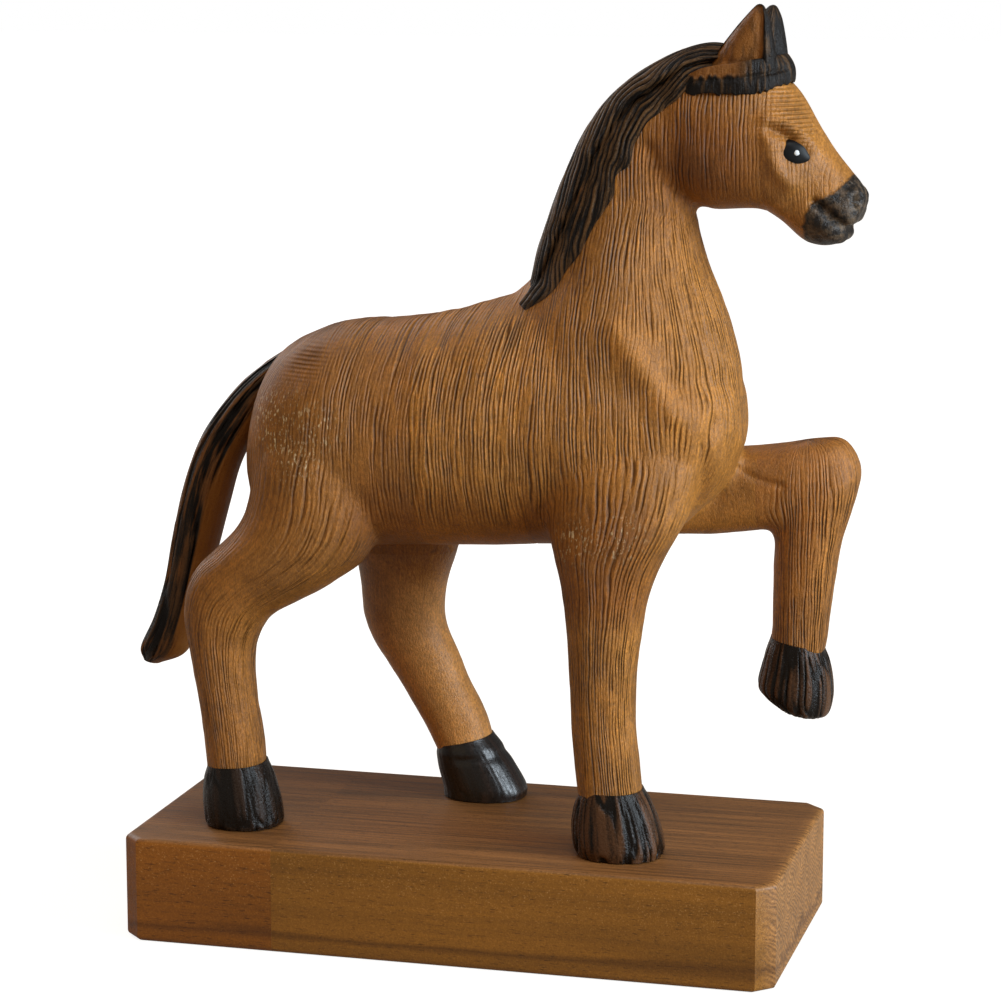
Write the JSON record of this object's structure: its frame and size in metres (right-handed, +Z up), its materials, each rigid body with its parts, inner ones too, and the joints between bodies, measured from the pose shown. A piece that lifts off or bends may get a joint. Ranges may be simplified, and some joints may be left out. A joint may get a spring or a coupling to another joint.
{
  "type": "horse figurine",
  "caption": "Carved wooden horse ornament on a rectangular plinth, stepping out with one foreleg raised, with dark painted mane, tail, muzzle and hooves.",
  "frame": {"origin": "middle of the plinth's underside", "axes": "+Z up from the surface it stands on, +X towards the horse's nose, +Y to the horse's left"},
  "size_m": [0.1906, 0.0786, 0.2363],
  "materials": {
    "carved_wood": "waxed tan hardwood with fine gouge lines",
    "painted_wood": "dark brown-black stain over carved grooves, worn on the ridges",
    "plinth_wood": "waxed brown hardwood, planed",
    "dowel_wood": "plain turned dowel"
  },
  "bodies": {
    "root": {"plinth_main_block": "plinth_wood", "plinth_end_block": "plinth_wood", "plinth_joint_dowel_right": "dowel_wood", "plinth_joint_dowel_left": "dowel_wood", "hindquarter_block": "carved_wood", "loin_board": "carved_wood", "barrel_board": "carved_wood", "forequarter_block": "carved_wood", "face_block": "carved_wood", "face_dowel_lower": "dowel_wood", "face_dowel_upper": "dowel_wood", "raised_foreleg": "carved_wood", "raised_foreleg_dowel_lower": "dowel_wood", "raised_foreleg_dowel_upper": "dowel_wood", "left_hind_leg": "carved_wood", "left_hind_leg_dowel_rear": "dowel_wood", "left_hind_leg_dowel_front": "dowel_wood", "tail": "painted_wood", "tail_dowel": "dowel_wood", "right_fore_hoof_dowel": "dowel_wood", "right_hind_hoof_dowel": "dowel_wood", "left_hind_hoof_dowel": "dowel_wood"}
  },
  "joints": []
}
